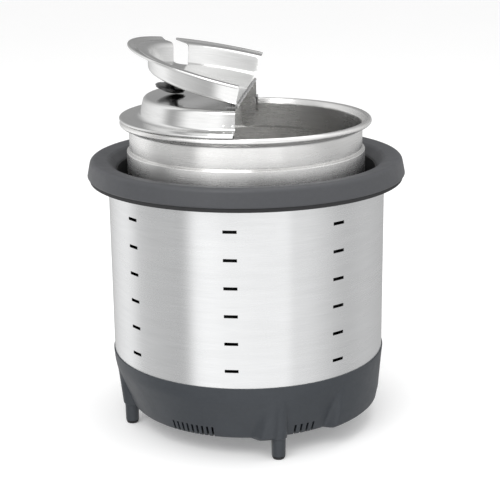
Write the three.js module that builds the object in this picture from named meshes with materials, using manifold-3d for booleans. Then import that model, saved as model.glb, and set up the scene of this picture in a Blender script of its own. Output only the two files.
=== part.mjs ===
// Drop-in soup kettle: jacket, collar, base on four legs, induction well, food inset and hinged cover.
// Millimetres, +Z up, front of the kettle toward -Y, origin on the floor under the kettle's axis.
import * as THREE from "three";
import * as BufferGeometryUtils from "three/addons/utils/BufferGeometryUtils.js";
import Module from "manifold-3d";

const wasm = await Module();
wasm.setup();

// ---- Driving dimensions ----
const GAP = 0.4;                 // clearance between touching pieces
const SEGMENTS = 56;             // facets round the large rings

const SHELL_RADIUS = 158;
const SHELL_SHEET = 1.0;
const SHELL_BOTTOM = 84.4;
const SHELL_TOP = 294.2;
const SLOT_COLUMNS = 8;
const SLOT_ROWS = 6;
const SLOT_FIRST_ANGLE = -51.6;  // degrees from the front
const SLOT_TOP_HEIGHT = 264.4;
const SLOT_PITCH = 30.9;
const SLOT_WIDTH = 15;
const SLOT_HEIGHT = 3.5;

const TRAY_RADIUS = 159.2;
const TRAY_TOP = 90;
const TRAY_BOTTOM = 24;
const TRAY_WALL = 2.8;
const TRAY_SEGMENTS = 72;
const SCOOP_RADIUS = 139.3;      // radius of the scooped wall at the tray bottom
const SCOOP_TOP = 75;            // height where the scooped wall meets the full wall
const SCOOPS = [[-105, -100, 0, 5], [10, 15, 35, 40]];
const VENT_WIDTH = 2.4;
const VENT_TOP = 37.5;
const VENT_ROWS = [[9, -36, 2.44], [4, 20.9, 2.97]];

const LEG_ANGLES = [13.1, 103.1, 193.1, 283.1];
const LEG_CIRCLE = 142;
const LEG_RADIUS = 8;
const LEG_TOP = 67.5;
const BOSS_RADIUS = 9.5;
const BOSS_TOP = 74;
const PAD_HEIGHT = 3;

const COLLAR_RADIUS = 181.4;
const COLLAR_UNDERSIDE = 294.8;
const GASKET_BOTTOM = 290;
const WELL_RADIUS = 149;
const LINER_INNER = 147.4;
const LINER_OUTER = 148.6;
const WELL_FLOOR = 146.7;

const POT_BOTTOM = 147;
const POT_BODY = 135.8;
const POT_NECK = 132.7;
const POT_SHEET = 1.2;
const POT_STEP = 324.5;
const RIM_RADIUS = 143;
const RIM_TOP = 359;
const RIM_ROLL = 3.4;             // radius of the rolled rim's section

const COVER_RADIUS = 143.3;
const COVER_SHEET = 1.2;
const COVER_REST = 359.3;        // underside of the cover's hemmed edge
const FLANGE_TOP = 362.3;
const PLATFORM_TOP = 384.6;
const COVER_TURN = -6;           // degrees the cover is turned on the inset
const HINGE_X = 1.5;             // hinge line, right of the cover centre
const HINGE_Z = 387;
const HINGE_HALF_LENGTH = 98;
const CUT_HALF_GAP = 0.4;
const TAB_WIDTH = 17;
const TAB_BOTTOM = 327;
const TAB_INSET = 0.9;           // tab's edge to the cut edge
const FLAP_OPEN_ANGLE = 167;     // degrees the flap is folded back in the rest pose
const NOTCH_ANGLE = 37.7;
const NOTCH_RADIUS = 13;
const NOTCH_CENTRE = 119;

const KNUCKLES = 13;
const KNUCKLE_RADIUS = 2.0;
const KNUCKLE_BORE = 1.15;
const PIN_RADIUS = 0.75;
const LEAF_WIDTH = 13;
const LEAF_SHEET = 0.8;

const KNOB_REACH = 86;           // knob axis to hinge line
const KNOB_RADIUS = 17.5;
const KNOB_HEIGHT = 23.4;
const KNOB_DOME = 36;            // radius of the knob's domed top

const FAN_CENTRE = [-48, -50];
const FAN_SIZE = 80;
const FAN_BOTTOM = 34;
const FAN_DEPTH = 25;
const BOARD_BOTTOM = 44;
const CARRIER_BOTTOM = 128;
const GLAND_HEIGHT = 58;

// ---- Materials ----
const FINISH = {
  plastic: { color: 0x3a3f47, roughness: 0.55, metalness: 0.0 },
  darkPlastic: { color: 0x1b1c1f, roughness: 0.6, metalness: 0.0 },
  rubber: { color: 0x202225, roughness: 0.85, metalness: 0.0 },
  jacket: { color: 0xc4c6c8, roughness: 0.32, metalness: 1.0 },
  steel: { color: 0xcfd0d0, roughness: 0.25, metalness: 1.0 },
  polished: { color: 0xdadada, roughness: 0.12, metalness: 1.0 },
  gloss: { color: 0x08080a, roughness: 0.12, metalness: 0.0 },
  copper: { color: 0xb06a3c, roughness: 0.35, metalness: 1.0 },
  board: { color: 0x1f5a36, roughness: 0.5, metalness: 0.0 },
  aluminium: { color: 0xa9adb0, roughness: 0.4, metalness: 1.0 },
  brass: { color: 0xc09a4a, roughness: 0.3, metalness: 1.0 },
};

// ---- Helpers ----
const radians = (degrees) => degrees * Math.PI / 180;

// A clean indexed solid: positions only, shared corners, faces outward.
function solid(geometry) {
  const bare = geometry.index ? geometry.toNonIndexed() : geometry.clone();
  bare.deleteAttribute("normal");
  bare.deleteAttribute("uv");
  const merged = BufferGeometryUtils.mergeVertices(bare, 1e-4);
  dropCollapsedFaces(merged);
  if (signedVolume(merged) < 0) {
    flipFaces(merged);
  }
  return merged;
}

function dropCollapsedFaces(geometry) {
  const kept = [];
  const index = geometry.index.array;
  for (let i = 0; i < index.length; i += 3) {
    const [a, b, c] = [index[i], index[i + 1], index[i + 2]];
    if (a !== b && b !== c && c !== a) {
      kept.push(a, b, c);
    }
  }
  geometry.setIndex(kept);
}

function signedVolume(geometry) {
  const p = geometry.attributes.position;
  const index = geometry.index.array;
  const [a, b, c] = [new THREE.Vector3(), new THREE.Vector3(), new THREE.Vector3()];
  let sum = 0;
  for (let i = 0; i < index.length; i += 3) {
    a.fromBufferAttribute(p, index[i]);
    b.fromBufferAttribute(p, index[i + 1]);
    c.fromBufferAttribute(p, index[i + 2]);
    sum += a.dot(b.cross(c));
  }
  return sum;
}

function flipFaces(geometry) {
  const index = geometry.index.array;
  for (let i = 0; i < index.length; i += 3) {
    const swap = index[i];
    index[i] = index[i + 1];
    index[i + 1] = swap;
  }
}

function toManifold(geometry) {
  const clean = solid(geometry);
  const vertProperties = new Float32Array(clean.attributes.position.array);
  const triVerts = new Uint32Array(clean.index.array);
  return new wasm.Manifold(new wasm.Mesh({ numProp: 3, vertProperties, triVerts }));
}

function fromManifold(body) {
  const mesh = body.getMesh();
  const geometry = new THREE.BufferGeometry();
  geometry.setAttribute("position", new THREE.BufferAttribute(new Float32Array(mesh.vertProperties), 3));
  geometry.setIndex([...mesh.triVerts]);
  return solid(geometry);
}

const joined = (first, ...rest) => fromManifold(
  rest.reduce((body, extra) => body.add(toManifold(extra)), toManifold(first)));

const cut = (first, ...rest) => fromManifold(
  rest.reduce((body, tool) => body.subtract(toManifold(tool)), toManifold(first)));

const common = (first, second) => fromManifold(toManifold(first).intersect(toManifold(second)));

// Turned shape: profile of [radius, height] pairs, closed on the axis or on itself.
function turned(profile, segments = SEGMENTS) {
  const points = profile.map(([r, z]) => new THREE.Vector2(r, z));
  const geometry = new THREE.LatheGeometry(points, segments);
  geometry.rotateX(Math.PI / 2);
  return solid(geometry);
}

// Ring shape: the profile closes on itself.
const ring = (profile, segments = SEGMENTS) => turned([...profile, profile[0]], segments);

// Disc or post shape: the profile starts and ends on the axis.
const post = (radius, bottom, top, segments = 24) => turned(
  [[0, bottom], [radius, bottom], [radius, top], [0, top]], segments);

function box(x0, x1, y0, y1, z0, z1) {
  const geometry = new THREE.BoxGeometry(x1 - x0, y1 - y0, z1 - z0);
  geometry.translate((x0 + x1) / 2, (y0 + y1) / 2, (z0 + z1) / 2);
  return geometry;
}

// Turn a piece round the kettle's axis; zero degrees faces the front, positive to the right.
function swing(geometry, degrees) {
  geometry.rotateZ(radians(degrees));
  return geometry;
}

// Points of an arc from one angle to another, as [radius, height] pairs.
function arc(centreR, centreZ, radius, from, to, steps) {
  const points = [];
  for (let i = 0; i <= steps; i += 1) {
    const a = radians(from + (to - from) * i / steps);
    points.push([centreR + radius * Math.cos(a), centreZ + radius * Math.sin(a)]);
  }
  return points;
}

// ---- Jacket ----
function outerShell() {
  const inner = SHELL_RADIUS - SHELL_SHEET;
  const wall = ring([[inner, SHELL_BOTTOM], [SHELL_RADIUS, SHELL_BOTTOM],
    [SHELL_RADIUS, SHELL_TOP], [inner, SHELL_TOP]]);
  const slots = [];
  for (let column = 0; column < SLOT_COLUMNS; column += 1) {
    for (let row = 0; row < SLOT_ROWS; row += 1) {
      const z = SLOT_TOP_HEIGHT - row * SLOT_PITCH;
      const slot = box(-SLOT_WIDTH / 2, SLOT_WIDTH / 2, -SHELL_RADIUS - 4, -SHELL_RADIUS + 6,
        z - SLOT_HEIGHT / 2, z + SLOT_HEIGHT / 2);
      slots.push(swing(slot, SLOT_FIRST_ANGLE + column * 360 / SLOT_COLUMNS));
    }
  }
  return cut(wall, ...slots);
}

// ---- Collar: sits on the counter round the cut-out, its skirt centres the jacket ----
function collar() {
  const skirt = SHELL_RADIUS - SHELL_SHEET - GAP;
  return ring([
    [WELL_RADIUS, 282], [skirt, 282], [skirt, COLLAR_UNDERSIDE], [COLLAR_RADIUS - 1.2, COLLAR_UNDERSIDE],
    [COLLAR_RADIUS, 296.4],
    ...arc(172.6, 309.2, 6, 10, 85, 3),
    [158.5, 313.4], [155.6, 311.6], [150.4, 305.4], [WELL_RADIUS, 303.4],
  ]);
}

const collarGasket = () => ring([
  [SHELL_RADIUS + 0.8, GASKET_BOTTOM], [178.6, GASKET_BOTTOM],
  [179.6, COLLAR_UNDERSIDE - GAP], [SHELL_RADIUS + 0.8, COLLAR_UNDERSIDE - GAP],
]);

// ---- Base tray: full wall with a slight draft, scooped in toward the bottom in two stretches ----
const trayOuter = [
  [148.3, TRAY_BOTTOM], [153, 28.6], [155.2, 40], [156.2, 52], [157.1, 64],
  [158.0, SCOOP_TOP], [TRAY_RADIUS, 88.4], [TRAY_RADIUS, TRAY_TOP],
];
const trayInner = [
  [158.5, TRAY_TOP], [158.5, 84], [155.2, 84], [155.2, SCOOP_TOP], [154.3, 64], [153.4, 52],
  [152.4, 40], [145, TRAY_BOTTOM + TRAY_WALL],
];

function scoopWeight(degrees) {
  const weights = SCOOPS.map(([start, full, fullEnd, end]) => {
    const rise = (degrees - start) / (full - start);
    const fall = (end - degrees) / (end - fullEnd);
    return Math.max(0, Math.min(1, rise, fall));
  });
  return Math.max(...weights);
}

function scoopedRadius(radius, height, isInner) {
  if (height >= SCOOP_TOP) {
    return radius;
  }
  const share = (height - TRAY_BOTTOM) / (SCOOP_TOP - TRAY_BOTTOM);
  const wall = SCOOP_RADIUS + share * (158.0 - SCOOP_RADIUS);
  return Math.min(radius, wall - (isInner ? TRAY_WALL + 0.2 : 0));
}

function trayBowl() {
  const profile = [[0, TRAY_BOTTOM], ...trayOuter, ...trayInner, [0, TRAY_BOTTOM + TRAY_WALL]];
  const points = profile.map(([r, z]) => new THREE.Vector2(r, z));
  const geometry = new THREE.LatheGeometry(points, TRAY_SEGMENTS);
  geometry.rotateX(Math.PI / 2);
  const position = geometry.attributes.position;
  for (let i = 0; i < position.count; i += 1) {
    const [x, y, z] = [position.getX(i), position.getY(i), position.getZ(i)];
    const radius = Math.hypot(x, y);
    if (radius < 1) {
      continue;
    }
    const weight = scoopWeight(Math.round(Math.atan2(x, -y) * 180 / Math.PI));
    const isInner = i % profile.length > trayOuter.length;
    const target = radius + weight * (scoopedRadius(radius, z, isInner) - radius);
    position.setXY(i, x * target / radius, y * target / radius);
  }
  return solid(geometry);
}

function trayVents() {
  const cutters = [];
  for (const [count, first, pitch] of VENT_ROWS) {
    for (let i = 0; i < count; i += 1) {
      const slot = box(-VENT_WIDTH / 2, VENT_WIDTH / 2, -156, -SCOOP_RADIUS + 7,
        TRAY_BOTTOM - 4, VENT_TOP);
      cutters.push(swing(slot, first + i * pitch));
    }
  }
  return cutters;
}

// Air slots in the tray floor under the fan.
function floorSlots() {
  const [x, y] = FAN_CENTRE;
  return [-24, -12, 0, 12, 24].map((offset) => {
    const half = Math.sqrt(33 * 33 - offset * offset);
    return box(x + offset - 3, x + offset + 3, y - half, y + half, TRAY_BOTTOM - 2, TRAY_BOTTOM + 6);
  });
}

function glandHole() {
  const hole = new THREE.CylinderGeometry(10, 10, 30, 24);
  hole.translate(0, 152, 0);
  hole.translate(0, 0, GLAND_HEIGHT);
  return hole;
}

function atLeg(geometry, angle) {
  geometry.translate(0, -LEG_CIRCLE, 0);
  return swing(geometry, angle);
}

function baseTray() {
  const bosses = LEG_ANGLES.map((a) => atLeg(post(BOSS_RADIUS, TRAY_BOTTOM, BOSS_TOP, 22), a));
  const sockets = LEG_ANGLES.map(
    (a) => atLeg(post(LEG_RADIUS + 0.35, TRAY_BOTTOM - 2, LEG_TOP + GAP, 20), a));
  const bowl = joined(trayBowl(), ...bosses);
  return cut(bowl, ...sockets, ...trayVents(), ...floorSlots(), glandHole());
}

const legPost = (angle) => atLeg(turned([
  [0, PAD_HEIGHT + GAP], [LEG_RADIUS, PAD_HEIGHT + GAP], [LEG_RADIUS, LEG_TOP - 1],
  [LEG_RADIUS - 1, LEG_TOP], [0, LEG_TOP],
], 20), angle);

const footPad = (angle) => atLeg(turned([
  [0, 0], [LEG_RADIUS - 2, 0], [LEG_RADIUS - 0.7, 0.9],
  [LEG_RADIUS - 0.2, PAD_HEIGHT], [0, PAD_HEIGHT],
], 20), angle);

// ---- Induction well ----
const wellLiner = () => ring([
  [9, WELL_FLOOR - 2], [139.6, WELL_FLOOR - 2], [146, 148.2], [LINER_OUTER, 154],
  [LINER_OUTER, 280.2], [156.4, 280.2], [156.4, 281.5], [LINER_OUTER, 281.5],
  [LINER_OUTER, 303], [LINER_INNER, 303], [LINER_INNER, 154.6], [145, 149.4],
  [139.2, WELL_FLOOR], [9, WELL_FLOOR],
]);

const coilCarrier = () => ring([
  [8.7, CARRIER_BOTTOM], [116, CARRIER_BOTTOM], [116, 134.6], [8.7, 134.6],
], 32);

// Flat winding, ribbed where the turns lie side by side.
function inductionCoil() {
  const turns = 4;
  const width = 84 / turns;
  const profile = [[26, 135]];
  for (let i = 0; i < turns; i += 1) {
    const r = 26 + i * width;
    profile.push([r + width * 0.25, 141.4], [r + width * 0.75, 141.4]);
    if (i < turns - 1) {
      profile.push([r + width, 138.6]);
    }
  }
  return ring([...profile, [110, 135]], 32);
}

const carrierPost = (x, y) => {
  const geometry = post(4, TRAY_BOTTOM + TRAY_WALL + GAP, CARRIER_BOTTOM - GAP, 12);
  geometry.translate(x, y, 0);
  return geometry;
};

const sensorPlunger = () => turned([
  [0, 114], [2.2, 114], [2.2, 142.6], [6.8, 142.6], [6.8, 145.6], [5.8, 146.6], [0, 146.6],
], 20);

const sensorGuide = () => ring([
  [2.7, 118], [8.2, 118], [8.2, 124.4], [13, 124.4], [13, 127.6], [8.2, 127.6],
  [8.2, 139], [2.7, 139],
], 20);

// ---- Cooling fan and electronics in the base ----
function fanFrame() {
  const half = FAN_SIZE / 2;
  const top = FAN_BOTTOM + FAN_DEPTH;
  const frame = box(-half, half, -half, half, FAN_BOTTOM, top);
  const bore = post(38, FAN_BOTTOM - 5, top + 5, 40);
  const seat = post(12, FAN_BOTTOM, FAN_BOTTOM + 3, 20);
  const strut = box(-39, 39, -2, 2, FAN_BOTTOM, FAN_BOTTOM + 3);
  const crossStrut = box(-2, 2, -39, 39, FAN_BOTTOM, FAN_BOTTOM + 3);
  const body = joined(cut(frame, bore), seat, strut, crossStrut);
  body.translate(FAN_CENTRE[0], FAN_CENTRE[1], 0);
  return body;
}

function fanRotor() {
  const bottom = FAN_BOTTOM + 4;
  const hub = post(14, bottom, bottom + 18, 24);
  const blades = [];
  for (let i = 0; i < 7; i += 1) {
    const blade = box(12, 36, -0.9, 0.9, -9.5, 9.5);
    blade.rotateX(radians(52));
    blade.translate(0, 0, bottom + 9);
    blade.rotateZ(i * 2 * Math.PI / 7);
    blades.push(blade);
  }
  const body = joined(hub, ...blades);
  body.translate(FAN_CENTRE[0], FAN_CENTRE[1], 0);
  return body;
}

const controlBoard = () => box(8, 90, -44, 44, BOARD_BOTTOM, BOARD_BOTTOM + 1.6);

const boardStandoff = (x, y) => {
  const geometry = post(3, TRAY_BOTTOM + TRAY_WALL + GAP, BOARD_BOTTOM - GAP, 12);
  geometry.translate(x, y, 0);
  return geometry;
};

// Finned block standing on the board.
function heatSink() {
  const outline = new THREE.Shape();
  const [fins, pitch, base, tip] = [6, 5, 4, 30];
  outline.moveTo(0, 0);
  outline.lineTo(fins * pitch - 2.4, 0);
  for (let i = fins - 1; i >= 0; i -= 1) {
    outline.lineTo(i * pitch + 2.6, tip);
    outline.lineTo(i * pitch, tip);
    if (i > 0) {
      outline.lineTo(i * pitch, base);
      outline.lineTo((i - 1) * pitch + 2.6, base);
    }
  }
  const geometry = new THREE.ExtrudeGeometry(outline, { depth: 72, bevelEnabled: false });
  geometry.rotateX(Math.PI / 2);
  geometry.translate(14, 36, BOARD_BOTTOM + 1.6 + GAP);
  return solid(geometry);
}

const capacitor = (x, y) => {
  const z = BOARD_BOTTOM + 1.6 + GAP;
  const geometry = turned([[0, z], [11, z], [11, z + 30], [9.6, z + 31.6], [0, z + 31.6]], 16);
  geometry.translate(x, y, 0);
  return geometry;
};

function choke() {
  const geometry = new THREE.TorusGeometry(9, 4, 8, 16);
  geometry.translate(70, 26, BOARD_BOTTOM + 1.6 + GAP + 4);
  return geometry;
}

// Bush through the tray's back wall; it faces straight back.
function facingBack(geometry) {
  geometry.rotateX(-Math.PI / 2);
  geometry.translate(0, 0, GLAND_HEIGHT);
  return geometry;
}

const cordGland = () => facingBack(ring([
  [4.2, 143], [9.6, 143], [9.6, 159.8], [13.5, 159.8], [13.5, 162.6], [10, 166], [4.2, 166],
], 16));

const glandNut = () => facingBack(ring([
  [10, 145], [14, 145], [14, 151], [10, 151],
], 16));

// ---- Food inset ----
function insetPot() {
  const body = POT_BODY;
  const inner = POT_BODY - POT_SHEET;
  const neckInner = POT_NECK - POT_SHEET;
  return turned([
    [0, POT_BOTTOM], [118, POT_BOTTOM], ...arc(118, POT_BOTTOM + 17.8, 17.8, -60, 0, 2),
    [body, POT_STEP - 3], [body - 0.9, POT_STEP - 0.6], [POT_NECK, POT_STEP + 0.4],
    [POT_NECK, 346], [133.6, 350.2], [136.4, 352.4],
    ...arc(RIM_RADIUS - RIM_ROLL, RIM_TOP - RIM_ROLL, RIM_ROLL, -80, 80, 4),
    [136.2, 358.2], [133.2, 355.6], [neckInner, 350],
    [neckInner, POT_STEP], [inner - 0.7, POT_STEP - 1.4], [inner, POT_STEP - 4],
    ...arc(118, POT_BOTTOM + 17.8, 16.6, 0, -60, 2),
    [117.4, POT_BOTTOM + POT_SHEET], [0, POT_BOTTOM + POT_SHEET],
  ]);
}

// ---- Cover ----
const coverSkin = [
  [110.5, PLATFORM_TOP], [114.4, 383.0], [116.2, 379.6], [119.6, 365.6], [121.4, 363.0],
  [124.4, FLANGE_TOP], [139, FLANGE_TOP],
];

function coverDisc() {
  const sheet = COVER_SHEET;
  return turned([
    [0, PLATFORM_TOP], ...coverSkin,
    ...arc(COVER_RADIUS - 1.5, 360.8, 1.5, 75, -75, 3), [139.4, COVER_REST], [138.2, 360.2],
    [137.6, FLANGE_TOP - sheet], [124, FLANGE_TOP - sheet], [120.3, 362.2], [118.5, 365.2],
    [115.1, 379.2], [113.6, 382.0], [110.2, PLATFORM_TOP - sheet], [0, PLATFORM_TOP - sheet],
  ], 60);
}

// Everything on one side of the hinge line.
function halfSpace(side) {
  const [x0, x1] = side < 0 ? [-200, HINGE_X - CUT_HALF_GAP] : [HINGE_X + CUT_HALF_GAP, 200];
  return box(x0, x1, -200, 200, 300, 420);
}

// Upright channel open toward the cover's edge, where a ladle handle passes.
function notchPrism(radius) {
  const roundEnd = post(radius, 350, 400, 24);
  roundEnd.translate(NOTCH_CENTRE, 0, 0);
  const straight = box(NOTCH_CENTRE, 160, -radius, radius, 350, 400);
  const prism = joined(roundEnd, straight);
  prism.rotateZ(radians(NOTCH_ANGLE));
  return prism;
}

function coverFlap() {
  const dome = turned([[0, PLATFORM_TOP], ...coverSkin.slice(0, -1), [124.4, FLANGE_TOP - COVER_SHEET],
    [0, FLANGE_TOP - COVER_SHEET]], 60);
  const channel = common(dome, notchPrism(NOTCH_RADIUS + COVER_SHEET));
  const half = common(coverDisc(), halfSpace(1));
  return cut(joined(half, channel), notchPrism(NOTCH_RADIUS));
}

const coverFixedHalf = () => common(coverDisc(), halfSpace(-1));

// Locating strip inside the fixed half: follows the wall, then leans in at its lower end.
function locatingTab(side) {
  const outer = [[113.3, 380], [116.7, 366], [116.7, 342], [110.9, 327]];
  const inner = outer.map(([y, z]) => [y - 1.2, z]).reverse();
  const outline = new THREE.Shape([...outer, ...inner].map(([y, z]) => new THREE.Vector2(y, z)));
  const strip = new THREE.ExtrudeGeometry(outline, { depth: TAB_WIDTH, bevelEnabled: false });
  strip.rotateX(Math.PI / 2);
  strip.rotateZ(Math.PI / 2);
  const body = solid(strip);
  body.translate(HINGE_X - CUT_HALF_GAP - TAB_INSET - TAB_WIDTH, 0, 0);
  const tab = common(body, roundedTabEnd());
  if (side < 0) {
    tab.scale(1, -1, 1);
  }
  return solid(tab);
}

// Limits the strip to a full width with a half-round lower end.
function roundedTabEnd() {
  const left = HINGE_X - CUT_HALF_GAP - TAB_INSET - TAB_WIDTH;
  const half = TAB_WIDTH / 2;
  const shape = new THREE.Shape();
  shape.moveTo(left, 390);
  shape.lineTo(left, TAB_BOTTOM + half);
  shape.absarc(left + half, TAB_BOTTOM + half, half, Math.PI, 2 * Math.PI, false);
  shape.lineTo(left + TAB_WIDTH, 390);
  const prism = new THREE.ExtrudeGeometry(shape, { depth: 60, bevelEnabled: false, curveSegments: 10 });
  prism.rotateX(Math.PI / 2);
  prism.translate(0, 140, 0);
  return solid(prism);
}

// ---- Piano hinge: leaves lie on the platform, knuckles alternate along the pin ----
function alongHinge(geometry) {
  geometry.translate(HINGE_X, 0, HINGE_Z);
  return geometry;
}

function knuckle(i, side) {
  const pitch = 2 * HINGE_HALF_LENGTH / KNUCKLES;
  const y0 = -HINGE_HALF_LENGTH + i * pitch + GAP / 2;
  const tube = new THREE.CylinderGeometry(KNUCKLE_RADIUS, KNUCKLE_RADIUS, pitch - GAP, 12);
  tube.translate(0, y0 + (pitch - GAP) / 2, 0);
  const z0 = PLATFORM_TOP + 0.35 - HINGE_Z;
  const reach = KNUCKLE_RADIUS + 1;
  const link = box(Math.min(0, side * reach), Math.max(0, side * reach), y0, y0 + pitch - GAP,
    z0, z0 + LEAF_SHEET);
  return joined(tube, link);
}

function hingeLeaf(side) {
  const near = side * (KNUCKLE_RADIUS + 0.6);
  const far = side * LEAF_WIDTH;
  const z0 = PLATFORM_TOP + 0.35 - HINGE_Z;
  const strip = box(Math.min(near, far), Math.max(near, far), -HINGE_HALF_LENGTH, HINGE_HALF_LENGTH,
    z0, z0 + LEAF_SHEET);
  const knuckles = [];
  for (let i = side < 0 ? 0 : 1; i < KNUCKLES; i += 2) {
    knuckles.push(knuckle(i, side));
  }
  const bore = new THREE.CylinderGeometry(KNUCKLE_BORE, KNUCKLE_BORE, 2 * HINGE_HALF_LENGTH + 10, 10);
  return alongHinge(cut(joined(strip, ...knuckles), bore));
}

function hingePin() {
  const pin = new THREE.CylinderGeometry(PIN_RADIUS, PIN_RADIUS, 2 * HINGE_HALF_LENGTH - 1, 10);
  return alongHinge(solid(pin));
}

// ---- Knob on the flap ----
function onFlap(geometry) {
  geometry.translate(HINGE_X + KNOB_REACH, 0, PLATFORM_TOP);
  return geometry;
}

const knobBase = () => onFlap(ring([
  [2.6, GAP], [9, GAP], [9, 1.4], [7.6, 2.4], [2.6, 2.4],
], 24));

// Mushroom shape: narrow stem, flared underside, shallow domed top.
const knob = () => onFlap(turned([
  [0, 16.6], [2.6, 16.6], [2.6, 2.8], [6.4, 2.8], [5.6, 6], [5.6, 10], [8, 13.4], [15.6, 16],
  [KNOB_RADIUS, 17.6], ...arc(0, KNOB_HEIGHT - KNOB_DOME, KNOB_DOME, 61.5, 90, 5),
], 32));

const knobScrew = () => onFlap(turned([
  [0, -5], [4.2, -5], [4.2, -COVER_SHEET - GAP], [2.2, -COVER_SHEET - GAP],
  [2.2, 16], [0, 16],
], 16));

// ---- Assembly ----
const kettle = new THREE.Group();
kettle.name = "soup_kettle";

function add(name, geometry, finish) {
  const mesh = new THREE.Mesh(solid(geometry), new THREE.MeshStandardMaterial(FINISH[finish]));
  mesh.name = name;
  kettle.add(mesh);
}

// The cover is turned a little on the inset.
function addCover(name, geometry, finish) {
  geometry.rotateZ(radians(COVER_TURN));
  add(name, geometry, finish);
}

// Flap pieces are drawn closed, then folded back about the hinge line.
function addFlap(name, geometry, finish) {
  geometry.translate(-HINGE_X, 0, -HINGE_Z);
  geometry.rotateY(radians(-FLAP_OPEN_ANGLE));
  geometry.translate(HINGE_X, 0, HINGE_Z);
  addCover(name, geometry, finish);
}

const knobHole = () => onFlap(post(2.7, -6, 6, 16));

add("outer_shell", outerShell(), "jacket");
add("collar", collar(), "plastic");
add("collar_gasket", collarGasket(), "rubber");
add("base_tray", baseTray(), "plastic");
LEG_ANGLES.forEach((angle, i) => {
  add(`leg_post_${i + 1}`, legPost(angle), "plastic");
  add(`foot_pad_${i + 1}`, footPad(angle), "rubber");
});
add("well_liner", wellLiner(), "darkPlastic");
add("coil_carrier", coilCarrier(), "darkPlastic");
add("induction_coil", inductionCoil(), "copper");
[[0, 108], [-93.5, -54], [93.5, -54]].forEach(([x, y], i) => {
  add(`carrier_post_${i + 1}`, carrierPost(x, y), "aluminium");
});
add("sensor_plunger", sensorPlunger(), "brass");
add("sensor_guide", sensorGuide(), "darkPlastic");
add("fan_frame", fanFrame(), "darkPlastic");
add("fan_rotor", fanRotor(), "darkPlastic");
add("control_board", controlBoard(), "board");
[[14, -38], [84, -38], [14, 38], [84, 38]].forEach(([x, y], i) => {
  add(`board_standoff_${i + 1}`, boardStandoff(x, y), "brass");
});
add("heat_sink", heatSink(), "aluminium");
add("capacitor_1", capacitor(64, -28), "gloss");
add("capacitor_2", capacitor(64, -2), "gloss");
add("choke", choke(), "copper");
add("cord_gland", cordGland(), "darkPlastic");
add("gland_nut", glandNut(), "darkPlastic");

add("inset_pot", insetPot(), "steel");

addCover("cover_fixed_half", coverFixedHalf(), "polished");
addCover("tab_front", locatingTab(-1), "steel");
addCover("tab_back", locatingTab(1), "steel");
addCover("hinge_leaf_fixed", hingeLeaf(-1), "steel");
addCover("hinge_pin", hingePin(), "steel");

addFlap("cover_flap", cut(coverFlap(), knobHole()), "steel");
addFlap("hinge_leaf_flap", hingeLeaf(1), "steel");
addFlap("knob_base", knobBase(), "polished");
addFlap("knob", knob(), "gloss");
addFlap("knob_screw", knobScrew(), "steel");

export default kettle;
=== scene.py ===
"""Soup kettle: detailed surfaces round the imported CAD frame, studio floor, light and camera."""

import math

import bmesh
import bpy
from mathutils import Matrix, Vector

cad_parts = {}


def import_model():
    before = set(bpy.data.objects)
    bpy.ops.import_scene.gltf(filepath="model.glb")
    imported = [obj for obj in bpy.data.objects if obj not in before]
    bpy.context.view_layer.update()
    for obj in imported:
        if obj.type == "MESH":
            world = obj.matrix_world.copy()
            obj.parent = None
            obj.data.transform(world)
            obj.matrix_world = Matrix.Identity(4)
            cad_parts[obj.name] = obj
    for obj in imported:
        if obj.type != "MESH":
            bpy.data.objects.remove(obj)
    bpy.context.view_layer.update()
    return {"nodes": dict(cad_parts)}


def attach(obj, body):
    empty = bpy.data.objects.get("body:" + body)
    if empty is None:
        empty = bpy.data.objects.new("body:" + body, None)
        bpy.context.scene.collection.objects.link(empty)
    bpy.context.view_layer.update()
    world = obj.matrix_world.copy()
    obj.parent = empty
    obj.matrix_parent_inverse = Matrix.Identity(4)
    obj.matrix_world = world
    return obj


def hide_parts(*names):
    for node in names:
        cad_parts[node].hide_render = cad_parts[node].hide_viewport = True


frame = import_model()

MM = 0.001

# ---- Dimensions, in millimetres, as in the CAD source ----
SHELL_RADIUS, SHELL_SHEET, SHELL_BOTTOM, SHELL_TOP = 158.0, 1.0, 84.4, 294.2
SLOT_COLUMNS, SLOT_ROWS, SLOT_FIRST_ANGLE = 8, 6, -51.6
SLOT_TOP_HEIGHT, SLOT_PITCH, SLOT_WIDTH, SLOT_HEIGHT = 264.4, 30.9, 15.0, 3.5
TRAY_BOTTOM, TRAY_WALL = 24.0, 2.8
# The unscooped wall: (height, radius).
TRAY_FULL = [(24, 148.3), (28.6, 153), (40, 155.2), (75, 158), (88.4, 159.2), (90, 159.2)]
SCOOP_RADIUS, SCOOP_TOP, SCOOP_TOP_RADIUS, SCOOP_BLEND = 139.3, 75.0, 158.0, 1.2
# Each scoop, in degrees: it deepens from a to b and fades from c to d; its fading end leans by the last.
SCOOPS = [(-105, -100, 0, 5, 6.0), (10, 15, 36.5, 40, 2.0)]
VENT_WIDTH, VENT_TOP, VENT_INNER = 2.4, 37.5, 132.3
# Each row of vents: count, first angle, pitch.
VENT_ROWS = [(9, -36.0, 2.44), (4, 20.9, 2.97)]
LEG_ANGLES = (13.1, 103.1, -166.9, -76.9)
LEG_CIRCLE, LEG_RADIUS, LEG_TOP, PAD_HEIGHT = 142.0, 8.0, 67.5, 3.0
RIB_RADIUS, RIB_LEAN, RIB_BLEND = 9.5, 5.5, 1.6
FAN_CENTRE, FAN_OPENING, FLOOR_SLOT_WIDTH = (-48.0, -50.0), 33.0, 6.0
FLOOR_SLOTS = (-24, -12, 0, 12, 24)
GLAND_HEIGHT = 58.0
HINGE_X, HINGE_Z, HINGE_HALF_LENGTH = 1.5, 387.0, 98.0
CUT_HALF_GAP, COVER_TURN, FLAP_ANGLE = 0.4, -6.0, 167.0
PLATFORM_TOP = 384.6
NOTCH_ANGLE, NOTCH_RADIUS, NOTCH_CENTRE, COVER_SHEET = 37.7, 13.0, 119.0, 1.2
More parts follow.
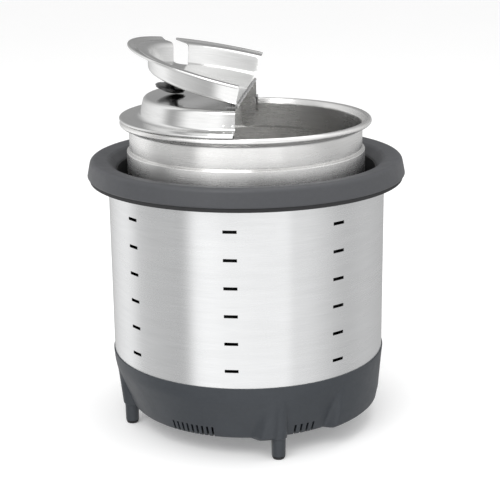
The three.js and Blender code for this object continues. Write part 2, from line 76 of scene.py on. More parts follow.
KNUCKLES, KNUCKLE_RADIUS, KNUCKLE_BORE = 13, 2.0, 1.15
LEAF_WIDTH, LEAF_SHEET, LEAF_LIFT, KNUCKLE_GAP = 13.0, 0.8, 0.35, 0.4
RIVETS, RIVET_MARGIN, RIVET_REACH = 6, 14.0, 8.6
TAB_WIDTH, TAB_SHEET, TAB_BOTTOM, TAB_INSET = 17.0, 1.2, 327.0, 0.9
WELD_OFFSETS, WELD_RADIUS, WELD_HEIGHT, WELD_LEAN = (-2.7, -12.5), 119.0, 368.0, 0.24
KNOB_REACH = 86.0
# Facets round the large turned pieces, the inset and the cover.
AROUND, INSET_AROUND, COVER_AROUND = 240, 288, 320

# The cover is drawn closed and square to the axes, then turned, and the flap also folded back.
TURN = Matrix.Rotation(math.radians(COVER_TURN), 4, "Z")
HINGE_POINT = Vector((HINGE_X * MM, 0, HINGE_Z * MM))
FOLD = (TURN @ Matrix.Translation(HINGE_POINT)
        @ Matrix.Rotation(math.radians(-FLAP_ANGLE), 4, "Y") @ Matrix.Translation(-HINGE_POINT))
UPRIGHT = Matrix.Identity(4)


# ---- Mesh helpers; profiles are lists of (radius, height) in millimetres ----
def object_from(name, vertices, faces):
    mesh = bpy.data.meshes.new(name)
    mesh.from_pydata([tuple(c * MM for c in v) for v in vertices], [], faces)
    piece = bpy.data.objects.new(name, mesh)
    bpy.context.scene.collection.objects.link(piece)
    return piece


def tidy_mesh(piece):
    """Merges doubled points and turns every face outward."""
    work = bmesh.new()
    work.from_mesh(piece.data)
    bmesh.ops.remove_doubles(work, verts=work.verts, dist=1e-6)
    bmesh.ops.recalc_face_normals(work, faces=work.faces)
    work.to_mesh(piece.data)
    work.free()


def lay_grain(mesh):
    """Stores each point's place before folding, and a UV map that runs across the turned grain."""
    grain = mesh.attributes.get("grain") or mesh.attributes.new("grain", "FLOAT_VECTOR", "POINT")
    grain.data.foreach_set("vector", [c for v in mesh.vertices for c in v.co])
    mapped = (mesh.uv_layers.get("across") or mesh.uv_layers.new(name="across")).data
    for face in mesh.polygons:
        spots = [mesh.vertices[mesh.loops[k].vertex_index].co for k in face.loop_indices]
        middle = face.center
        base = math.atan2(middle.x, -middle.y)
        # Steep faces are measured by height, and flat ones by distance from the axis.
        upright = abs(face.normal.z) < 0.7
        for k, spot in zip(face.loop_indices, spots):
            radius = math.hypot(spot.x, spot.y)
            swing = math.atan2(spot.x, -spot.y) - base if radius > 1e-6 else 0.0
            swing = (swing + math.pi) % (2 * math.pi) - math.pi + base
            mapped[k].uv = (spot.z if upright else radius, swing * 0.05)


def finish_piece(piece, body, material, nodes=(), place=UPRIGHT, sharp=32):
    """Lays the grain, then shades, paints, places and mounts the piece."""
    mesh = piece.data
    lay_grain(mesh)
    mesh.transform(place)
    mesh.polygons.foreach_set("use_smooth", [True] * len(mesh.polygons))
    mesh.set_sharp_from_angle(angle=math.radians(sharp))
    mesh.materials.clear()
    mesh.materials.append(material)
    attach(piece, body)
    if nodes:
        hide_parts(*nodes)
    return piece


def rounded(points, steps=5):
    """Rounds each (radius, height, fillet) corner of a closed profile."""
    made = []
    count = len(points)
    for i, (r, z, fillet) in enumerate(points):
        here = Vector((r, z))
        if not fillet:
            made.append((r, z))
            continue
        back = (Vector(points[i - 1][:2]) - here).normalized()
        ahead = (Vector(points[(i + 1) % count][:2]) - here).normalized()
        half = back.angle(ahead) / 2
        reach = fillet / math.tan(half)
        centre = here + (back + ahead).normalized() * (fillet / math.sin(half))
        start, end = here + back * reach - centre, here + ahead * reach - centre
        for k in range(steps + 1):
            spoke = start.slerp(end, k / steps).normalized() * fillet
            made.append(tuple(centre + spoke))
    return made


def arc(centre_r, centre_z, radius, first, last, steps):
    """Points round a centre from the first angle to the last, in degrees above the outward direction."""
    turns = [math.radians(first + (last - first) * k / steps) for k in range(steps + 1)]
    return [(centre_r + radius * math.cos(a), centre_z + radius * math.sin(a)) for a in turns]


def turned(name, profile, around=AROUND, centre=(0, 0)):
    """Revolves a profile that closes on itself or on the axis."""
    vertices, faces, rings = [], [], []
    for r, z in profile:
        if r < 1e-6:
            rings.append([len(vertices)] * around)
            vertices.append((centre[0], centre[1], z))
            continue
        rings.append(list(range(len(vertices), len(vertices) + around)))
        for k in range(around):
            a = 2 * math.pi * k / around
            vertices.append((centre[0] + r * math.sin(a), centre[1] - r * math.cos(a), z))
    pairs = list(zip(rings, rings[1:] + rings[:1]))
    if profile[0][0] < 1e-6 and profile[-1][0] < 1e-6:
        pairs.pop()
    for low, high in pairs:
        for k in range(around):
            n = (k + 1) % around
            corners = [low[k], low[n], high[n], high[k]]
            faces.append(list(dict.fromkeys(corners)))
    piece = object_from(name, vertices, faces)
    tidy_mesh(piece)
    return piece


def box_of(name, low, high):
    corners = [(x, y, z) for x in (low[0], high[0]) for y in (low[1], high[1])
               for z in (low[2], high[2])]
    faces = [(0, 1, 3, 2), (4, 6, 7, 5), (0, 4, 5, 1), (2, 3, 7, 6), (0, 2, 6, 4), (1, 5, 7, 3)]
    piece = object_from(name, corners, faces)
    tidy_mesh(piece)
    return piece


def skin_solid(name, outer, inner, kept, wrap):
    """A sheet between two grids of points: kept(i, j) says which cells stay, and holes get rims."""
    rows, columns = len(outer), len(outer[0])
    spans = columns if wrap else columns - 1
    vertices = [p for row in outer for p in row] + [p for row in inner for p in row]
    shift = rows * columns
    faces = []

    def corner(i, j):
        return i * columns + j % columns

    def there(i, j):
        if not 0 <= i < rows - 1 or not (wrap or 0 <= j < spans):
            return False
        return kept(i, j % spans)

    for i in range(rows - 1):
        for j in range(spans):
            if not there(i, j):
                continue
            a, b, c, d = corner(i, j), corner(i, j + 1), corner(i + 1, j + 1), corner(i + 1, j)
            faces += [(a, b, c, d), (d + shift, c + shift, b + shift, a + shift)]
            sides = [((i - 1, j), a, b), ((i, j + 1), b, c), ((i + 1, j), c, d), ((i, j - 1), d, a)]
            faces += [(q, p, p + shift, q + shift) for cell, p, q in sides if not there(*cell)]
    piece = object_from(name, vertices, faces)
    work = bmesh.new()
    work.from_mesh(piece.data)
    loose = [v for v in work.verts if not v.link_faces]
    bmesh.ops.delete(work, geom=loose, context="VERTS")
    work.to_mesh(piece.data)
    work.free()
    tidy_mesh(piece)
    return piece


def combine(piece, tool, operation):
    """Applies one exact boolean and removes the tool."""
    step = piece.modifiers.new("step", "BOOLEAN")
    step.object = tool
    step.operation = operation
    step.solver = "EXACT"
    graph = bpy.context.evaluated_depsgraph_get()
    made = bpy.data.meshes.new_from_object(piece.evaluated_get(graph), depsgraph=graph)
    piece.modifiers.clear()
    piece.data = made
    bpy.data.objects.remove(tool)
    return piece


def join(name, pieces):
    """Gathers closed pieces into one object."""
    work = bmesh.new()
    for piece in pieces:
        work.from_mesh(piece.data)
        bpy.data.objects.remove(piece)
    made = object_from(name, [], [])
    work.to_mesh(made.data)
    work.free()
    return made


def swung(radius, degrees, z):
    """The point at this bearing: 0 is the front, 90 the right side."""
    a = math.radians(degrees)
    return (radius * math.sin(a), -radius * math.cos(a), z)


def smooth_step(t):
    t = max(0.0, min(1.0, t))
    return t * t * (3 - 2 * t)


def between(table, x):
    """Reads a piecewise linear table of (x, value) pairs."""
    for (x0, v0), (x1, v1) in zip(table, table[1:]):
        if x <= x1:
            return v0 + (v1 - v0) * max(0.0, x - x0) / (x1 - x0)
    return table[-1][1]


def merged_steps(evenly, exact, nearest):
    """Even steps and exact ones in order, without even steps that crowd an exact one."""
    kept = [a for a in evenly if all(abs(a - e) > nearest for e in exact)]
    return sorted(kept + list(exact))


# ---- Shader helpers ----
class Shader:
    """Builds one material's node tree round a Principled shader."""

    def __init__(self, name, metallic=0.0, roughness=0.5):
        self.material = bpy.data.materials.new(name)
        self.material.use_nodes = True
        self.tree = self.material.node_tree
        self.tree.nodes.clear()
        self.surface = self.add("ShaderNodeBsdfPrincipled")
        self.surface.inputs["Metallic"].default_value = metallic
        self.surface.inputs["Roughness"].default_value = roughness
        output = self.add("ShaderNodeOutputMaterial")
        self.link(self.surface.outputs[0], output.inputs[0])

    def add(self, kind, **settings):
        node = self.tree.nodes.new(kind)
        for key, value in settings.items():
            setattr(node, key, value)
        return node

    def link(self, source, target):
        self.tree.links.new(source, target)

    def feed(self, value, target):
        if isinstance(value, bpy.types.NodeSocket):
            self.link(value, target)
        else:
            target.default_value = value

    def math(self, operation, first, second=0.0):
        node = self.add("ShaderNodeMath", operation=operation)
        self.feed(first, node.inputs[0])
        self.feed(second, node.inputs[1])
        return node.outputs[0]

    def place(self, stored):
        """The point's place: stored in the mesh before folding, or as the object has it."""
        if stored:
            return self.add("ShaderNodeAttribute", attribute_name="grain").outputs["Vector"]
        return self.add("ShaderNodeTexCoord").outputs["Object"]

    def vector(self, x, y, z):
        node = self.add("ShaderNodeCombineXYZ")
        for value, target in zip((x, y, z), node.inputs):
            self.feed(value, target)
        return node.outputs[0]

    def noise(self, vector, scale, detail=3.0, rough=0.55):
        node = self.add("ShaderNodeTexNoise")
        self.link(vector, node.inputs["Vector"])
        node.inputs["Scale"].default_value = scale
        node.inputs["Detail"].default_value = detail
        node.inputs["Roughness"].default_value = rough
        return node.outputs["Fac"]

    def span(self, value, low, high, start=0.3, end=0.7):
        """Maps a value from start..end to low..high."""
        node = self.add("ShaderNodeMapRange")
        self.link(value, node.inputs["Value"])
        for key, number in (("From Min", start), ("From Max", end), ("To Min", low), ("To Max", high)):
            node.inputs[key].default_value = number
        return node.outputs["Result"]

    def blend(self, factor, first, second):
        node = self.add("ShaderNodeMix", data_type="RGBA")
        self.feed(factor, node.inputs[0])
        self.feed(first, node.inputs[6])
        self.feed(second, node.inputs[7])
        return node.outputs[2]

    def colour(self, source):
        self.link(source, self.surface.inputs["Base Color"])

    def roughness(self, source):
        self.link(source, self.surface.inputs["Roughness"])

    def bump(self, layers):
        """Stacks (height, depth in metres) layers into the normal."""
        normal = None
        for height, depth in layers:
            node = self.add("ShaderNodeBump")
            node.inputs["Distance"].default_value = depth
            self.link(height, node.inputs["Height"])
            if normal is not None:
                self.link(normal, node.inputs["Normal"])
            normal = node.outputs[0]
        self.link(normal, self.surface.inputs["Normal"])


def rgb(red, green, blue):
    return (red, green, blue, 1.0)


def brushed(name, dark, light, rough, stored=True, turned_grain=True, waviness=2.5e-5,
            depth=1.5e-6, stretch=0.0):
    """Metal with fine grain round its axis, or straight along Y, smudges and a slightly uneven sheet."""
    s = Shader(name, metallic=1.0)
    if stretch:
        s.surface.inputs["Anisotropic"].default_value = stretch
        across = s.add("ShaderNodeTangent", direction_type="UV_MAP", uv_map="across")
        s.link(across.outputs[0], s.surface.inputs["Tangent"])
    place = s.place(stored)
    parts = s.add("ShaderNodeSeparateXYZ")
    s.link(place, parts.inputs[0])
    x, y, z = parts.outputs
    if turned_grain:
        radius = s.math("SQRT", s.math("ADD", s.math("MULTIPLY", x, x), s.math("MULTIPLY", y, y)))
        safe = s.math("MAXIMUM", radius, 1e-4)
        across = s.math("ADD", radius, z)
        along = (s.math("DIVIDE", x, safe), s.math("DIVIDE", y, safe))
    else:
        across = s.math("ADD", x, z)
        along = (s.math("MULTIPLY", y, 8.0), 0.0)
    fine = s.noise(s.vector(*along, s.math("MULTIPLY", across, 260.0)), 5.0, 3.0)
    broad = s.noise(s.vector(*along, s.math("MULTIPLY", across, 60.0)), 2.2, 2.0)
    smudge = s.noise(place, 18.0, 4.0, 0.6)
    wave = s.noise(place, 7.0, 1.0)
    tone = s.math("ADD", s.math("MULTIPLY", fine, 0.55), s.math("MULTIPLY", broad, 0.45))
    s.colour(s.blend(s.span(tone, 0.0, 1.0, 0.35, 0.65), dark, light))
    worn = s.math("ADD", s.math("MULTIPLY", fine, 0.4), s.math("MULTIPLY", smudge, 0.6))
    s.roughness(s.span(worn, rough[0], rough[1], 0.35, 0.65))
    s.bump([(wave, waviness), (broad, depth * 4), (fine, depth)])
    return s.material


def moulded(name, dark, light, rough, stored=True, depth=1.2e-5):
    """Moulded plastic with a fine spark-eroded grain, faint flow marks and rub marks."""
    s = Shader(name)
    place = s.place(stored)
    grain = s.noise(place, 1600.0, 2.0, 0.6)
    mottle = s.noise(place, 240.0, 3.0)
    flow = s.noise(place, 9.0, 3.0)
    rub = s.noise(place, 45.0, 5.0, 0.7)
    tone = s.math("ADD", s.math("MULTIPLY", mottle, 0.35), s.math("MULTIPLY", flow, 0.65))
    s.colour(s.blend(s.span(tone, 0.0, 1.0), dark, light))
    worn = s.math("ADD", s.math("MULTIPLY", rub, 0.7), s.math("MULTIPLY", grain, 0.3))
    s.roughness(s.span(worn, rough[0], rough[1]))
    s.bump([(mottle, depth * 1.5), (grain, depth)])
    return s.material


def wound(name, dark, light, wires_per_metre):
    """Lacquered winding: fine turns round the axis."""
    s = Shader(name, metallic=1.0)
    place = s.place(False)
    parts = s.add("ShaderNodeSeparateXYZ")
    s.link(place, parts.inputs[0])
    x, y, _ = parts.outputs
    radius = s.math("SQRT", s.math("ADD", s.math("MULTIPLY", x, x), s.math("MULTIPLY", y, y)))
    turns = s.math("SINE", s.math("MULTIPLY", radius, 2 * math.pi * wires_per_metre))
    tint = s.noise(place, 60.0)
    s.colour(s.blend(s.span(tint, 0.0, 1.0), dark, light))
    s.roughness(s.span(tint, 0.28, 0.45))
    s.bump([(turns, 0.0002)])
    return s.material


def glossy(name, colour, sheen):
    """Glossy moulding: black body with a clear top, fingerprints and fine scratches."""
    s = Shader(name)
    s.surface.inputs["Coat Weight"].default_value = 0.6
    s.surface.inputs["Coat Roughness"].default_value = 0.06
    place = s.place(True)
    prints = s.noise(place, 120.0, 4.0, 0.6)
    scratch = s.noise(place, 900.0, 1.0)
    s.colour(s.blend(s.span(prints, 0.0, 1.0), colour, sheen))
    s.roughness(s.span(prints, 0.12, 0.26))
    s.bump([(scratch, 2e-6), (prints, 8e-6)])
    return s.material


# Each finish: its name, darker and lighter colour, and lowest and highest roughness.
JACKET = brushed("jacket_brushed", rgb(0.665, 0.67, 0.675), rgb(0.715, 0.72, 0.725),
                 (0.24, 0.29), waviness=1.2e-5, depth=1.0e-6, stretch=0.9)
INSET = brushed("inset_satin", rgb(0.78, 0.775, 0.765), rgb(0.88, 0.875, 0.865),
                (0.24, 0.31), waviness=1.2e-5, depth=1.2e-6, stretch=0.9)
COVER = brushed("cover_satin", rgb(0.72, 0.72, 0.715), rgb(0.80, 0.80, 0.795),
                (0.10, 0.17), waviness=1.5e-5, depth=1.0e-6, stretch=0.6)
HINGE = brushed("hinge_plain", rgb(0.52, 0.52, 0.52), rgb(0.66, 0.66, 0.655),
                (0.18, 0.32), turned_grain=False)
BARE = brushed("bare_metal", rgb(0.5, 0.5, 0.5), rgb(0.64, 0.64, 0.63),
               (0.25, 0.4), stored=False, turned_grain=False)
HOUSING = moulded("housing_grained", rgb(0.045, 0.047, 0.052), rgb(0.057, 0.059, 0.065),
                  (0.42, 0.56))
BASE = moulded("base_grained", rgb(0.020, 0.0245, 0.031), rgb(0.028, 0.0335, 0.041), (0.42, 0.56))
LINER = moulded("liner_black", rgb(0.012, 0.012, 0.013), rgb(0.022, 0.022, 0.024), (0.4, 0.55))
INNER_BLACK = moulded("inner_black", rgb(0.014, 0.014, 0.015), rgb(0.025, 0.025, 0.027),
                      (0.45, 0.6), stored=False)
RUBBER = moulded("rubber_matt", rgb(0.014, 0.014, 0.015), rgb(0.024, 0.024, 0.026),
                 (0.75, 0.9), depth=3e-5)
BOARD = moulded("board_green", rgb(0.015, 0.10, 0.045), rgb(0.03, 0.16, 0.07),
                (0.3, 0.45), stored=False)
SLEEVE = moulded("sleeve_black", rgb(0.010, 0.010, 0.014), rgb(0.02, 0.02, 0.028),
                 (0.25, 0.35), stored=False)
COPPER = wound("winding_copper", rgb(0.45, 0.18, 0.07), rgb(0.62, 0.28, 0.13), 900)
BRASS = brushed("sensor_brass_turned", rgb(0.50, 0.36, 0.13), rgb(0.66, 0.49, 0.20),
                (0.2, 0.35), stored=False)
KNOB = glossy("knob_gloss", rgb(0.006, 0.006, 0.007), rgb(0.012, 0.012, 0.013))


# ---- Jacket ----
def jacket():
    """Steel cylinder with rows of punched air slots."""
    half = math.degrees(math.asin(SLOT_WIDTH / 2 / SHELL_RADIUS))
    centres = [SLOT_FIRST_ANGLE + k * 360 / SLOT_COLUMNS for k in range(SLOT_COLUMNS)]
    edges = sorted((c + side * half + 180) % 360 - 180 for c in centres for side in (-1, 1))
    angles = merged_steps([-180 + k * 360 / AROUND for k in range(AROUND)], edges, 0.4)
    heights = [SLOT_TOP_HEIGHT - k * SLOT_PITCH for k in range(SLOT_ROWS)]
    sills = sorted(h + side * SLOT_HEIGHT / 2 for h in heights for side in (-1, 1))
    # Plain rings near both ends, the slots' edges, and one ring between every two rows.
    levels = sorted([SHELL_BOTTOM, SHELL_TOP, 97.0, 280.0] + sills
                    + [h + SLOT_PITCH / 2 for h in heights[1:]])

    def kept(i, j):
        z = (levels[i] + levels[i + 1]) / 2
        a0, a1 = angles[j], angles[(j + 1) % len(angles)]
        a = a0 + ((a1 - a0) % 360) / 2
        in_row = any(abs(z - h) < SLOT_HEIGHT / 2 for h in heights)
        return not (in_row and any(abs((a - c + 180) % 360 - 180) < half for c in centres))

    outer = [[swung(SHELL_RADIUS, a, z) for a in angles] for z in levels]
    inner = [[swung(SHELL_RADIUS - SHELL_SHEET, a, z) for a in angles] for z in levels]
    piece = skin_solid("jacket", outer, inner, kept, True)
    finish_piece(piece, "housing", JACKET, ["outer_shell"])


# ---- Collar, gasket and well ----
def collar():
    """Wide moulded collar and the gasket under its overhang."""
    profile = rounded([
        (149, 282, 0), (156.6, 282, 0), (156.6, 294.8, 0), (180.4, 294.8, 0.6), (181.4, 296.4, 0.9),
        (177.34, 315.72, 6), (158.5, 313.4, 6), (155.6, 311.6, 6), (150.4, 305.4, 1.4), (149, 303.4, 0.6),
    ], 7)
    finish_piece(turned("collar_ring", profile), "housing", HOUSING, ["collar"],
                 sharp=40)
    seal = rounded([(158.8, 290, 0.8), (178.6, 290, 1.0), (179.6, 294.4, 0), (158.8, 294.4, 0)], 4)
    finish_piece(turned("collar_seal", seal), "housing", RUBBER, ["collar_gasket"])


def well():
    """Dark pan round the inset, with a small flange near its top."""
    profile = rounded([
        (9, 144.7, 0.5), (139.6, 144.7, 3), (146, 148.2, 4), (148.6, 154, 5), (148.6, 280.2, 0),
        (156.4, 280.2, 0.3), (156.4, 281.5, 0.3), (148.6, 281.5, 0), (148.6, 303, 0), (147.4, 303, 0.4),
        (147.4, 154.6, 5), (145, 149.4, 4), (139.2, 146.7, 3), (9, 146.7, 0.5),
    ], 5)
    finish_piece(turned("well_lining", profile), "housing", LINER, ["well_liner"])


# ---- Base: scooped wall, leg pilasters, air slots ----
def scoop_share(degrees, rise):
    """How far the wall is scooped here, 0 to 1; each scoop's right end leans aside as the wall rises."""
    return max(smooth_step(min((degrees - a) / (b - a), (d + lean * rise - degrees) / (d - c)))
               for a, b, c, d, lean in SCOOPS)


def soft_min(a, b, width):
    """The lesser of two values, blended where they are within the width of each other."""
    h = max(0.0, min(1.0, 0.5 + 0.5 * (b - a) / width))
    return b + (a - b) * h - width * h * (1 - h)


def pilaster(degrees, z):
    """Radius of the leg's half-round rib on the wall at this angle, or zero away from it."""
    lean = RIB_LEAN * (z - TRAY_BOTTOM) / (SCOOP_TOP - TRAY_BOTTOM)
    for leg in LEG_ANGLES:
        off = math.radians((degrees - leg + 180) % 360 - 180)
        side = LEG_CIRCLE * math.sin(off)
        if abs(side) < RIB_RADIUS and abs(off) < 1:
            return LEG_CIRCLE * math.cos(off) + lean + math.sqrt(RIB_RADIUS ** 2 - side * side)
    return 0.0


def tray_radius(degrees, z):
    """Radius of the base's wall: full or scooped, with the legs' ribs standing out of it."""
    full = between(TRAY_FULL, z)
    share = (z - TRAY_BOTTOM) / (SCOOP_TOP - TRAY_BOTTOM)
    slope = SCOOP_RADIUS + share * (SCOOP_TOP_RADIUS - SCOOP_RADIUS)
    scooped = soft_min(full, slope, SCOOP_BLEND)
    wall = full + scoop_share(degrees, share) * (scooped - full)
    rib = pilaster(degrees, z)
    return -soft_min(-wall, -rib, RIB_BLEND) if rib else wall


def base():
    """Tray with a scooped wall, air slots round its bottom edge and under the fan."""
    half = math.degrees(math.asin(VENT_WIDTH / 2 / SCOOP_RADIUS))
    centres = [first + k * pitch for count, first, pitch in VENT_ROWS for k in range(count)]
    edges = [c + side * half for c in centres for side in (-1, 1)]
    # Extra columns of points stand just inside both edges of each leg's rib.
    ribs = [leg + step for leg in LEG_ANGLES for step in (-3.75, -3.4, 3.4, 3.75)]
    columns = 2 * AROUND
    angles = merged_steps([-180 + k * 360 / columns for k in range(columns)], edges + ribs, 0.2)
    levels = [90, 89.6, 88.4, 85, 81, 78, 75, 72, *range(68, 36, -4), VENT_TOP, 34, 31.5,
              29.6, 28.6, 27.6, 26.6, 25.8, 25.2, 24.7, 24.3]
    inner_floor = TRAY_BOTTOM + TRAY_WALL

    def wall_point(a, z, wall):
        """On the wall or inside it, with the top edge eased and the bottom corner rounded."""
        lip = 0.5 if z > 89.7 else 0.0
        corner = 0.25 * max(0.0, 26.6 - z) ** 2
        return swung(tray_radius(a, z) - lip - corner - wall, a, z)

    outer = [[wall_point(a, z, 0) for a in angles] for z in levels]
    inner = [[wall_point(a, max(z, inner_floor), TRAY_WALL) for a in angles] for z in levels]
    edge = [tray_radius(a, TRAY_BOTTOM) for a in angles]
    for step in (2.0, 3.4):
        outer.append([swung(r - step, a, TRAY_BOTTOM) for r, a in zip(edge, angles)])
        inner.append([swung(r - step - 2.0, a, inner_floor) for r, a in zip(edge, angles)])
    vent_rows = range(levels.index(VENT_TOP), len(outer))
    for radius in (VENT_INNER, 118, 80, 40, 6):
        outer.append([swung(radius, a, TRAY_BOTTOM) for a in angles])
        inner.append([swung(radius, a, inner_floor) for a in angles])

    def kept(i, j):
        a0, a1 = angles[j], angles[(j + 1) % len(angles)]
        middle = a0 + ((a1 - a0) % 360) / 2
        return not (i in vent_rows and any(abs(middle - c) < half for c in centres))

    piece = skin_solid("base_shell", outer, inner, kept, True)
    # The rings leave a small hole in the middle of the floor, which a plug closes.
    plug = turned("plug", [(0, TRAY_BOTTOM), (7, TRAY_BOTTOM), (7, inner_floor), (0, inner_floor)], 48)
    piece = combine(piece, plug, "UNION")
    for offset in FLOOR_SLOTS:
        x, y = FAN_CENTRE[0] + offset, FAN_CENTRE[1]
        reach = math.sqrt(FAN_OPENING ** 2 - offset ** 2)
        slot = box_of("slot", (x - FLOOR_SLOT_WIDTH / 2, y - reach, TRAY_BOTTOM - 2),
                      (x + FLOOR_SLOT_WIDTH / 2, y + reach, TRAY_BOTTOM + 6))
        piece = combine(piece, slot, "DIFFERENCE")
    finish_piece(piece, "housing", BASE, ["base_tray"], sharp=38)


def legs():
    """Round posts, each on a rubber pad with a recess in its face."""
    post = rounded([(0, 3.4, 0), (7.7, 3.4, 0.8), (LEG_RADIUS, TRAY_BOTTOM, 0),
                    (LEG_RADIUS, LEG_TOP, 1), (0, LEG_TOP, 0)], 4)
    pad = rounded([(0, 0.7, 0), (3.2, 0.7, 0.3), (3.8, 0, 0.2), (6.2, 0, 0.9),
                   (7.6, PAD_HEIGHT, 0.4), (0, PAD_HEIGHT, 0)], 4)
    for k, angle in enumerate(LEG_ANGLES, 1):
        x, y, _ = swung(LEG_CIRCLE, angle, 0)
        leg = turned(f"leg_{k}", post, 48, (x, y))
        finish_piece(leg, "housing", BASE, [f"leg_post_{k}"])
        foot = turned(f"foot_{k}", pad, 48, (x, y))
        finish_piece(foot, "housing", RUBBER, [f"foot_pad_{k}"])


def gland():
    """Ribbed cord bush facing straight back."""
    profile = [(4.2, 143), (9.6, 143), (9.6, 159.8), (13.5, 159.8), (13.5, 162.0), (13.0, 162.6)]
    profile += [(11.6 - 0.35 * k - (0.5 if k % 2 else 0), 163.0 + 0.42 * k) for k in range(8)]
    profile += [(4.2, 166)]
    bush = turned("cord_bush", profile, 64)
    tip = Matrix.Translation((0, 0, GLAND_HEIGHT * MM)) @ Matrix.Rotation(math.radians(-90), 4, "X")
    bush.data.transform(tip)
    finish_piece(bush, "housing", LINER, ["cord_gland"])


# ---- Food inset ----
def inset():
    """Food pot: flat bottom, body, step, straight neck and rolled rim, up outside and down inside."""
    profile = [(0, 147), (112, 147)] + arc(118, 164.8, 17.8, -88, 0, 12)
    profile += rounded([(135.8, 200, 0), (135.8, 323.4, 1.3), (132.3, 324.9, 0.3), (132.7, 326.2, 0.5),
                        (132.7, 349.4, 5), (137.2, 352.6, 2.0), (139.0, 352.3, 0)], 5)[:-1]
    profile += arc(139.6, 355.6, 3.4, -80, 95, 14)
    profile += rounded([(139.0, 359.0, 0), (136.0, 358.2, 3), (131.5, 353.0, 5), (131.5, 324.9, 1.0),
                        (134.6, 322.4, 2), (134.6, 300, 0)], 5)[1:]
    profile += arc(118, 164.8, 16.6, 0, -88, 12) + [(112, 148.2), (0, 148.2)]
    piece = turned("inset", profile, INSET_AROUND)
    finish_piece(piece, "inset", INSET, ["inset_pot"], sharp=60)


# ---- Cover ----
def cover_profile():
    """Half-section of the domed cover: raised platform, cone, flat brim and rolled hem."""
    skin = [(0, PLATFORM_TOP, 0), (114.98, PLATFORM_TOP, 5.6), (120.4, 362.3, 5.0), (139, 362.3, 0)]
    lining = [(137.6, 361.1, 0.5), (119.45, 361.1, 6.2), (114.04, 383.4, 4.4), (0, 383.4, 0)]
    outer = rounded(skin, 8)
    hem = arc(141.8, 360.8, 1.5, 88, -90, 9) + [(139.4, 359.3), (138.4, 359.9)]
    return outer + hem + rounded(lining, 6)


def half_cover(name, side):
    """The cover's sheet on one side of the hinge line, with its cut face closed."""
    piece = turned(name, cover_profile(), COVER_AROUND)
    work = bmesh.new()
    work.from_mesh(piece.data)
    plane = (HINGE_X + side * CUT_HALF_GAP) * MM
    everything = work.verts[:] + work.edges[:] + work.faces[:]
    cut = bmesh.ops.bisect_plane(work, geom=everything, dist=1e-7, plane_co=(plane, 0, 0),
                                 plane_no=(-side, 0, 0), clear_outer=True)
    rim = [e for e in cut["geom_cut"] if isinstance(e, bmesh.types.BMEdge)]
    bmesh.ops.holes_fill(work, edges=rim, sides=0)
    bmesh.ops.recalc_face_normals(work, faces=work.faces)
    work.to_mesh(piece.data)
    work.free()
    return piece


def notch_prism(radius, low, high):
    """Upright channel, open toward the cover's edge."""
    turn = math.radians(NOTCH_ANGLE)
    round_part = [(NOTCH_CENTRE + radius * math.cos(a), radius * math.sin(a))
                  for a in (math.pi / 2 + math.pi * k / 32 for k in range(33))]
    outline = round_part + [(160, -radius), (160, radius)]
    flat = [(x * math.cos(turn) - y * math.sin(turn), x * math.sin(turn) + y * math.cos(turn))
            for x, y in outline]
    count = len(flat)
    vertices = [(x, y, low) for x, y in flat] + [(x, y, high) for x, y in flat]
    faces = [tuple(reversed(range(count))), tuple(range(count, 2 * count))]
    faces += [(k, (k + 1) % count, (k + 1) % count + count, k + count) for k in range(count)]
    piece = object_from("prism", vertices, faces)
    tidy_mesh(piece)
    return piece


def fixed_half():
    """The half that the other one folds back over."""
    piece = half_cover("cover_half", -1)
    finish_piece(piece, "cover", COVER, ["cover_fixed_half"], TURN, 34)


def flap():
    """The folding half, with a ladle notch pressed into its dome."""
    piece = half_cover("cover_wing", 1)
    # The channel is cut to a solid that lies just under the cover's outer skin.
    dome = turned("dome", rounded([(0, 384.55, 0), (114.9, 384.55, 5.6), (120.3, 361.15, 5.0),
                                   (124.4, 361.15, 0), (0, 361.15, 0)], 8), COVER_AROUND)
    channel = combine(notch_prism(NOTCH_RADIUS + COVER_SHEET, 355, 395), dome, "INTERSECT")
    piece = combine(piece, channel, "UNION")
    piece = combine(piece, notch_prism(NOTCH_RADIUS, 350, 400), "DIFFERENCE")
    finish_piece(piece, "flap", COVER, ["cover_flap"], FOLD, 34)


def tab(name, node, side):
    """Bent locating strip with a half-round end."""
    path = [(113.3, 380), (114.6, 375), (116.1, 369), (116.7, 365), (116.7, 345), (116.5, 343.2),
            (115.9, 340.6), (114.9, 337.6), (112.9, 332.4), (110.9, 327.05)]
    half = TAB_WIDTH / 2
    middle = HINGE_X - CUT_HALF_GAP - TAB_INSET - half

    def width(z):
        drop = max(0.0, TAB_BOTTOM + half - z)
        return math.sqrt(max(0.0, half * half - drop * drop))

    fine = []
    # The path is divided more finely where the end is half round.
    for (y0, z0), (y1, z1) in zip(path, path[1:]):
        steps = 6 if z1 < TAB_BOTTOM + half else 1
        fine += [(y0 + (y1 - y0) * k / steps, z0 + (z1 - z0) * k / steps) for k in range(steps)]
    fine.append(path[-1])
    across = [-1 + 2 * k / 12 for k in range(13)]
    outer, inner = ([[(middle + v * width(z), side * (y - depth), z) for v in across] for y, z in fine]
                    for depth in (0, TAB_SHEET))
    piece = skin_solid(name, outer, inner, lambda i, j: True, False)
    finish_piece(piece, "cover", INSET, [node], TURN, 40)


